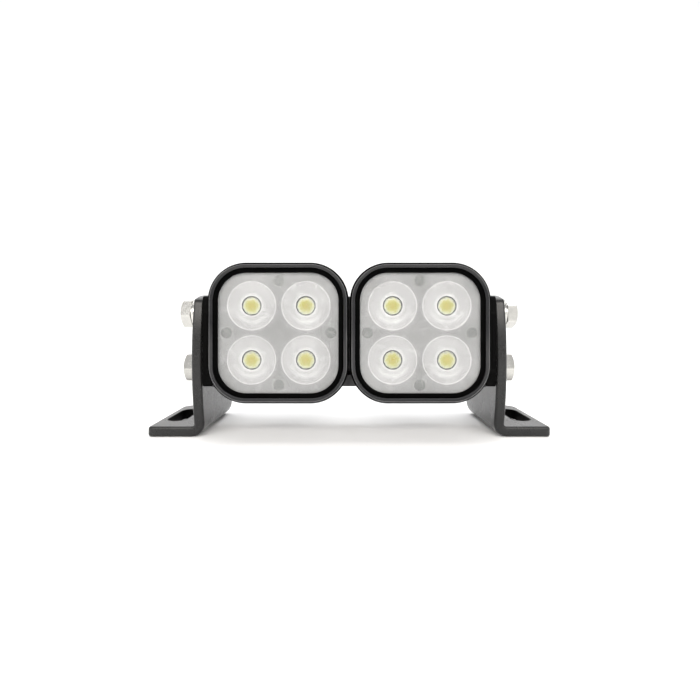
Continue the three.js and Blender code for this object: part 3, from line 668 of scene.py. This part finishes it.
def bracket_outline(pivot, foot_end):
    """The bracket laid out in Y and height, with its foot hanging below the bend as if unbent.

    pivot is the pivot's Y and height; foot_end is how far the flat foot reaches below zero height."""
    z = pivot.y
    top_radius = 36.4 * MM
    bottom = Vector((FOOT_FRONT, THICK))
    widest = Vector((LEG_FRONT, z + 2 * MM))
    top = Vector((LEG_FRONT + 2.7 * MM, z + 31 * MM))
    centre, radius = circle_through(bottom, widest, top)
    start, end = (math.degrees(math.atan2(p.y - centre.y, p.x - centre.x)) % 360 for p in (top, bottom))
    front = arc(centre, radius, start, end, 24)
    corner, back_corner = 2 * MM, 6 * MM
    foot = arc((FOOT_FRONT + corner, corner - foot_end), corner, 180, 270, 6)
    foot += arc((FOOT_BACK - back_corner, back_corner - foot_end), back_corner, 270, 360, 12)
    crown_start, crown_end = 30, 108
    back = bezier([
        Vector((FOOT_BACK, THICK)), Vector((FOOT_BACK + 6 * MM, 17 * MM)),
        Vector((FOOT_BACK + 3.6 * MM, 38 * MM)), on_circle(pivot, top_radius, crown_start),
    ], 28)
    crown = arc(pivot, top_radius, crown_start, crown_end, 28, (False, True))
    knee = Vector((LEG_FRONT + 3 * MM, z + 34.6 * MM))
    nose = [crown[-1] * (1 - t) ** 2 + knee * 2 * t * (1 - t) + top * t * t for t in (0.2, 0.4, 0.6, 0.8)]
    return foot + [Vector((FOOT_BACK, THICK))] + back + crown + nose + front


def arc_slot(pivot, radius, half_width, start, end):
    """A slot round the pivot, with round ends."""
    first, last = on_circle(pivot, radius, start), on_circle(pivot, radius, end)
    outline = arc(pivot, radius + half_width, start, end, 16)
    outline += arc(last, half_width, end, end + 180, 14, (False, False))
    outline += arc(pivot, radius - half_width, end, start, 16)
    return outline + arc(first, half_width, start + 180, start + 360, 14, (False, False))


def rounded_slot(middle, half_width, half_length):
    """A slot along the first axis."""
    x, y = middle
    reach = half_length - half_width
    return arc((x + reach, y), half_width, -90, 90, 16) + arc((x - reach, y), half_width, 90, 270, 16)


def into_material(outline):
    """At each point of the closed outline, anticlockwise round material, the way into the material."""
    ways = []
    for before, here, after in zip(outline[-1:] + outline[:-1], outline, outline[1:] + outline[:1]):
        along = ((here - before).normalized() + (after - here).normalized()).normalized()
        ways.append(Vector((-along.y, along.x)))
    return ways


def facing(place, point, depth, outward, lift):
    """The bent plate's normal, from its in-plane and through-plate parts."""
    tiny = 0.01 * MM
    here = place(point, depth)
    across = place(point + outward * tiny, depth) - here if outward.length else Vector()
    through = place(point, depth + tiny) - here
    return (across.normalized() * outward.length + through.normalized() * lift).normalized()


def edge_section(radius):
    """A rounded edge from one face to the other: inset, depth, angle from the face, side."""
    turns = [math.radians(90 * i / EDGE_STEPS) for i in range(EDGE_STEPS + 1)]
    section = [(radius + EDGE_MARGIN, 0, 0, -1)]
    section += [(radius * (1 - math.sin(a)), radius * (1 - math.cos(a)), a, -1) for a in turns]
    return section + [(inset, THICK - depth, a, 1) for inset, depth, a, _ in reversed(section)]


def bent_plate(name, outlines, place, bend_lines):
    """A plate with rounded edges: outlines are the rim and the holes, place(p, depth) bends it."""
    bm = bmesh.new()
    normals = []
    levels = {0: [], EDGE_RINGS - 1: []}
    for outline in outlines:
        ways = into_material(outline)
        section = edge_section(ROUND if outline is outlines[0] else HOLE_ROUND)
        rings = []
        for inset, depth, a, side in section:
            moved = [p + way * inset for p, way in zip(outline, ways)]
            rings.append([bm.verts.new(place(p, depth)) for p in moved])
            normals += [
                facing(place, p, depth, -way * math.sin(a), side * math.cos(a)) for p, way in zip(moved, ways)
            ]
            if len(rings) - 1 in levels:
                levels[len(rings) - 1].append((rings[-1], moved))
        for a, b in zip(rings, rings[1:]):
            join(bm, a, b)
    for level, loops in levels.items():
        depth, side = section[level][1], section[level][3]
        normals += fill_bent(bm, loops, depth, side, place, bend_lines)
    bmesh.ops.recalc_face_normals(bm, faces=bm.faces)
    mesh = bpy.data.meshes.new(name)
    bm.to_mesh(mesh)
    bm.free()
    mesh.shade_smooth()
    mesh.normals_split_custom_set_from_vertices(normals)
    return mesh


def fill_bent(bm, loops, depth, side, place, bend_lines):
    """Fills one side of the plate, cutting it along the lines across the bend."""
    points, verts, edges = [], [], []
    for ring, outline in loops:
        base = len(points)
        points += outline
        verts += ring
        edges += [(base + i, base + (i + 1) % len(ring)) for i in range(len(ring))]
    rim = loops[0][1]
    normals = []
    for height in bend_lines:
        at = [i for i, p in enumerate(rim) if abs(p.y - height) < SAME]
        if len(at) == 2:
            edges.append(tuple(at))
            continue
        # The rim slants here, so the line stops just short of it.
        gap = 0.02 * MM
        reach = crossings(rim, height)
        edges.append((len(points), len(points) + 1))
        for x in (min(reach) + gap, max(reach) - gap):
            points.append(Vector((x, height)))
            verts.append(bm.verts.new(place(points[-1], depth)))
            normals.append(facing(place, points[-1], depth, Vector((0, 0)), side))
    flat, _, faces, origins, _, _ = delaunay_2d_cdt(points, edges, [], 0, 1e-8)
    known = []
    for p, origin in zip(flat, origins):
        if origin:
            known.append(verts[origin[0]])
        else:
            known.append(bm.verts.new(place(p, depth)))
            normals.append(facing(place, p, depth, Vector((0, 0)), side))
    for face in faces:
        middle = (flat[face[0]] + flat[face[1]] + flat[face[2]]) / 3
        if encloses(rim, middle) and not any(encloses(hole, middle) for _, hole in loops[1:]):
            bm.faces.new([known[i] for i in face])
    return normals


def crossings(outline, height):
    """Where the closed outline crosses a height."""
    return [
        a.x + (height - a.y) / (b.y - a.y) * (b.x - a.x)
        for a, b in zip(outline, outline[1:] + outline[:1])
        if (a.y > height) != (b.y > height)
    ]


def encloses(outline, point):
    """Whether the point is inside the closed outline."""
    return sum(point.x < x for x in crossings(outline, point.y)) % 2 == 1


def axis_of(node):
    """Y and Z of the axis of a piece that is round about X."""
    low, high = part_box(node)
    return (low.y + high.y) / 2, (low.z + high.z) / 2


def bracket(side, sign):
    """An L-shaped plate: a leg with the pivot's hole and the arc slot, and a slotted foot."""
    low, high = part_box(f"{side}_bracket")
    inner, end = sorted((abs(low.x), abs(high.x)))
    pivot = Vector(axis_of(f"{side}_pivot_bolt"))
    aim_radius = axis_of(f"{side}_aim_bolt")[1] - pivot.y
    arc_length = BEND * 0.5 * math.pi / 2  # the bend's length at half its outer radius
    foot = end - inner - BEND
    straight = -arc_length + BEND

    def place(p, depth):
        """Bends the flat outline: depth 0 is the leg's inner face and the foot's underside."""
        if p.y >= BEND:
            x, z = inner + depth, p.y
        elif p.y > straight:
            turn = (BEND - p.y) / arc_length * math.pi / 2
            x = inner + BEND - (BEND - depth) * math.cos(turn)
            z = BEND - (BEND - depth) * math.sin(turn)
        else:
            x, z = inner + BEND + straight - p.y, depth
        return Vector((sign * x, p.x, z))

    bend_lines = [straight + arc_length * i / 8 for i in range(9)]
    rim = bracket_outline(pivot, foot - straight)
    rim = with_crossings(evenly(rim, 2.5 * MM), bend_lines)
    slot_height = straight - (SLOT_X - inner - BEND)
    slot = rounded_slot(((FOOT_FRONT + FOOT_BACK) / 2, slot_height), SLOT_HALF, SLOT_LENGTH / 2)
    aim = arc_slot(pivot, aim_radius, BOLT_HOLE, 90 - AIM_DOWN, 90 + AIM_UP)
    hole = arc(pivot, BOLT_HOLE, 0, 360, 32, (True, False))
    holes = [list(reversed(outline)) for outline in (slot, aim, hole)]
    name = f"{side}_bracket_look"
    mesh = bent_plate(name, [rim, *holes], place, bend_lines)
    new_object(name, mesh, PLATE, f"{side}_bracket", "brackets")
    mesh.materials.append(BLOCK)
    # The strips of quads round the holes take the near-black block material, painted shade inside the holes;
    # the flat faces between them are triangles.
    rim_end = EDGE_RINGS * len(rim)
    holes_end = rim_end + EDGE_RINGS * sum(len(hole) for hole in holes)
    for face in mesh.polygons:
        if len(face.vertices) == 4 and all(rim_end <= i < holes_end for i in face.vertices):
            face.material_index = 1


def with_crossings(outline, heights):
    """Adds a point wherever the outline crosses one of the heights."""
    out = []
    for a, b in zip(outline, outline[1:] + outline[:1]):
        out.append(a)
        low, high = sorted((a.y, b.y))
        hits = [h for h in heights if low + SAME < h < high - SAME]
        for h in sorted(hits, reverse=a.y > b.y):
            point = a.lerp(b, (h - a.y) / (b.y - a.y))
            out.append(Vector((point.x, h)))
    return out


# ---------------------------------------------------------------- side hardware

WASHER_HOLE = 4.3 * MM  # radius
SPLIT = 0.16  # radians: the gap in a lock washer


def polar_x(sections, centre):
    """A solid along X: each section is (x, radius), where radius is a number or radius(angle, x)."""
    count = 96
    bm = bmesh.new()
    loops = []
    for x, radius in sections:
        loop = []
        for i in range(count):
            a = i * math.tau / count
            r = radius(a, x) if callable(radius) else radius
            loop.append(Vector((x, centre[0] + r * math.cos(a), centre[1] + r * math.sin(a))))
        loops.append(loop)
    rings = skin(bm, loops, closed=False)
    bm.faces.new(rings[0])
    bm.faces.new(rings[-1])
    return bm


def hex_bolt(side, sign, name, corner_angle):
    """A hexagon bolt along X, with its head outside; one corner points along corner_angle."""
    low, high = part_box(f"{side}_{name}")
    centre = axis_of(f"{side}_{name}")
    outer, tip = (high.x, low.x) if sign > 0 else (low.x, high.x)
    length, flat, shank = 5.3 * MM, 6.5 * MM, 4 * MM
    seat = outer - sign * length
    rim = flat - 0.35 * MM

    def head(angle, x):
        """The hexagon, cut back by the 30 degree chamfer on its outer end."""
        turn = (angle - corner_angle) % (math.pi / 3) - math.pi / 6
        chamfer = rim + (length - abs(x - seat)) / math.tan(math.radians(30))
        return min(flat / math.cos(turn), chamfer)

    def at(height):
        """X at a height in millimetres above the head's seat."""
        return seat + sign * height * MM

    sections = [(tip, shank - 0.6 * MM), (tip + sign * 0.6 * MM, shank), (at(0), shank)]
    sections += [(at(0), 6.2 * MM), (at(0.25), 6.3 * MM), (at(0.3), head)]
    sections += [(at(4.2 + 0.1 * i), head) for i in range(11)]
    sections += [(at(5.26), rim - 0.1 * MM), (at(5.3), rim - 0.35 * MM), (at(5.3), 4.6 * MM),
                 (at(5.2), 4.3 * MM), (at(5.15), 3.8 * MM), (at(5.15), 0.05 * MM)]
    mesh = mesh_of(f"{side}_{name}_look", polar_x(sections, centre), 18)
    new_object(f"{side}_{name}_look", mesh, STEEL, f"{side}_{name}")


def ring_x(side, name, inner, round_off, split=0.0):
    """A washer, with a slanting split of that angle if split is set."""
    low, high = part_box(f"{side}_{name}")
    centre = axis_of(f"{side}_{name}")
    outer = max((high.y - low.y) / 2, (high.z - low.z) / 2)
    x0, x1 = low.x, high.x
    r = round_off
    section = [
        (inner + r * 0.6, x0), (outer - r, x0), (outer - r * 0.3, x0 + r * 0.3), (outer, x0 + r),
        (outer, x1 - r), (outer - r * 0.3, x1 - r * 0.3), (outer - r, x1), (inner + r * 0.6, x1),
        (inner, x1 - r * 0.6), (inner, x0 + r * 0.6),
    ]
    count = 72
    bm = bmesh.new()
    start = math.pi / 2 + split / 2
    span = math.tau - split
    slant = split * 0.35
    loops = []
    for i in range(count + 1 if split else count):
        a = start + span * i / count
        loops.append([
            Vector((x, centre[0] + q * math.cos(a + slant * (x - x0) / (x1 - x0)),
                    centre[1] + q * math.sin(a + slant * (x - x0) / (x1 - x0))))
            for q, x in section
        ])
    rings = skin(bm, loops, closed=not split)
    if split:
        bm.faces.new(rings[0])
        bm.faces.new(rings[-1])
    mesh = mesh_of(f"{side}_{name}_look", bm, 40)
    new_object(f"{side}_{name}_look", mesh, STEEL, f"{side}_{name}")


for side, sign in SIDES:
    bezel(side)
    lens(side)
    optic(side)
    bracket(side, sign)
    finish_copy(f"{side}_housing", CAST, 0.35 * MM)
    finish_copy(f"{side}_end_block", BLOCK, 0.4 * MM)
    finish_copy(f"{side}_rear_cover", CAST, 0.35 * MM)
    finish_copy(f"{side}_power_inlet", NYLON, 0.25 * MM)
    finish_copy(f"{side}_breather_vent", VENT, 0.2 * MM)
    # In the photograph the left upper bolt stands at another angle than the right one.
    hex_bolt(side, sign, "aim_bolt", math.pi / 2 if sign > 0 else math.pi / 24)
    hex_bolt(side, sign, "pivot_bolt", 0)
    ring_x(side, "aim_flat_washer", WASHER_HOLE, 0.2 * MM)
    ring_x(side, "aim_lock_washer", WASHER_HOLE, 0.25 * MM, SPLIT)
    ring_x(side, "pivot_lock_washer", WASHER_HOLE, 0.25 * MM, SPLIT)
    for i in range(1, 5):
        finish_copy(f"{side}_bezel_screw_{i}", OXIDE, 0.15 * MM)
    for i in (1, 2):
        finish_copy(f"{side}_cover_screw_{i}", OXIDE, 0.2 * MM)
        finish_copy(f"{side}_link_screw_{i}", OXIDE, 0.2 * MM)
finish_copy("link_block", CAST, 0.4 * MM)

# These stay the CAD's own shapes, out of sight or nearly so, and only take a material.
HIDDEN = {
    "lens_gasket": RUBBER, "led_board": WHITE_BOARD, "driver_board": GREEN_BOARD,
    "led_1": PHOSPHOR, "led_2": PHOSPHOR, "led_3": PHOSPHOR, "led_4": PHOSPHOR,
}
for side, _ in SIDES:
    for name, material in HIDDEN.items():
        frame["nodes"][f"{side}_{name}"].material_slots[0].material = material


# ---------------------------------------------------------------- floor, light and camera

def stage_floor():
    """A pale floor that curves up into a backdrop."""
    n = Nodes("floor", Specular_IOR_Level=0.2)
    n.set("Base Color", n.mix(n.noise(1.5, 3), (0.93, 0.93, 0.93), (0.95, 0.95, 0.95)))
    n.set("Roughness", n.spread(n.noise(3, 3), 0.75, 0.9))
    bm = bmesh.new()
    near, depth, bend, height, half_width = -5.0, 2.2, 0.9, 4.0, 9
    gap = 0.05 * MM  # below the feet, so that no face lies in another
    path = [(near, 0.0), (depth - bend, 0.0)]
    path += [
        (depth - bend + bend * math.sin(a), bend - bend * math.cos(a))
        for a in (i * math.pi / 2 / 12 for i in range(1, 13))
    ]
    path.append((depth, height))
    rows = [[bm.verts.new((x, y, z - gap)) for x in (-half_width, half_width)] for y, z in path]
    for a, b in zip(rows, rows[1:]):
        bm.faces.new((a[0], a[1], b[1], b[0]))
    mesh = bpy.data.meshes.new("floor")
    bm.to_mesh(mesh)
    bm.free()
    mesh.shade_smooth()
    mesh.materials.append(n.material)
    floor = bpy.data.objects.new("floor", mesh)
    bpy.context.scene.collection.objects.link(floor)


def area(name, place, aim, size, power, color):
    """A rectangular light of that size in metres and power in watts, turned towards aim."""
    data = bpy.data.lights.new(name, "AREA")
    data.shape = "RECTANGLE"
    data.size, data.size_y = size
    data.energy = power
    data.color = color
    light = bpy.data.objects.new(name, data)
    light.location = place
    light.rotation_euler = (Vector(aim) - Vector(place)).to_track_quat("-Z", "Y").to_euler()
    bpy.context.scene.collection.objects.link(light)


def world():
    """An even room, brighter in front of the object than behind it."""
    studio = bpy.data.worlds.new("studio")
    studio.use_nodes = True
    tree = studio.node_tree
    coord = tree.nodes.new("ShaderNodeTexCoord")
    split = tree.nodes.new("ShaderNodeSeparateXYZ")
    glow = tree.nodes.new("ShaderNodeMapRange")
    tree.links.new(coord.outputs["Generated"], split.inputs["Vector"])
    tree.links.new(split.outputs["Y"], glow.inputs["Value"])
    for socket, number in (("From Min", -0.75), ("From Max", -0.3), ("To Min", 1.1), ("To Max", 0.35)):
        glow.inputs[socket].default_value = number
    background = tree.nodes["Background"]
    background.inputs["Color"].default_value = (1, 1, 1, 1)
    tree.links.new(glow.outputs["Result"], background.inputs["Strength"])
    bpy.context.scene.world = studio


def lights():
    middle = (0, 0, 0.04)
    area("front_top", (0, -0.85, 0.46), middle, (1.3, 0.32), 8.5, (1.0, 0.955, 0.90))
    area("left_strip", (-0.85, -0.62, 0.22), middle, (0.22, 0.8), 2.4, (1, 1, 1))
    area("right_strip", (0.85, -0.62, 0.22), middle, (0.22, 0.8), 2.4, (1, 1, 1))
    area("top", (0, 0.1, 0.9), middle, (1.0, 0.7), 6.5, (1, 1, 1))
    area("backdrop", (0, 0.7, 1.9), (0, 2.1, 0.5), (3.0, 0.6), 26, (1, 1, 1))


def camera():
    """Straight at the front from close up, as in the photograph."""
    data = bpy.data.cameras.new("camera")
    data.lens = 22.35  # millimetres
    data.clip_start = 0.01
    data.shift_x = 0.0011
    data.shift_y = -0.0543
    cam = bpy.data.objects.new("camera", data)
    cam.location = (0, -0.230, 0.0602)
    cam.rotation_euler = (math.pi / 2, 0, 0)
    bpy.context.scene.collection.objects.link(cam)
    bpy.context.scene.camera = cam


stage_floor()
world()
lights()
camera()
bpy.context.scene.view_settings.view_transform = "Standard"
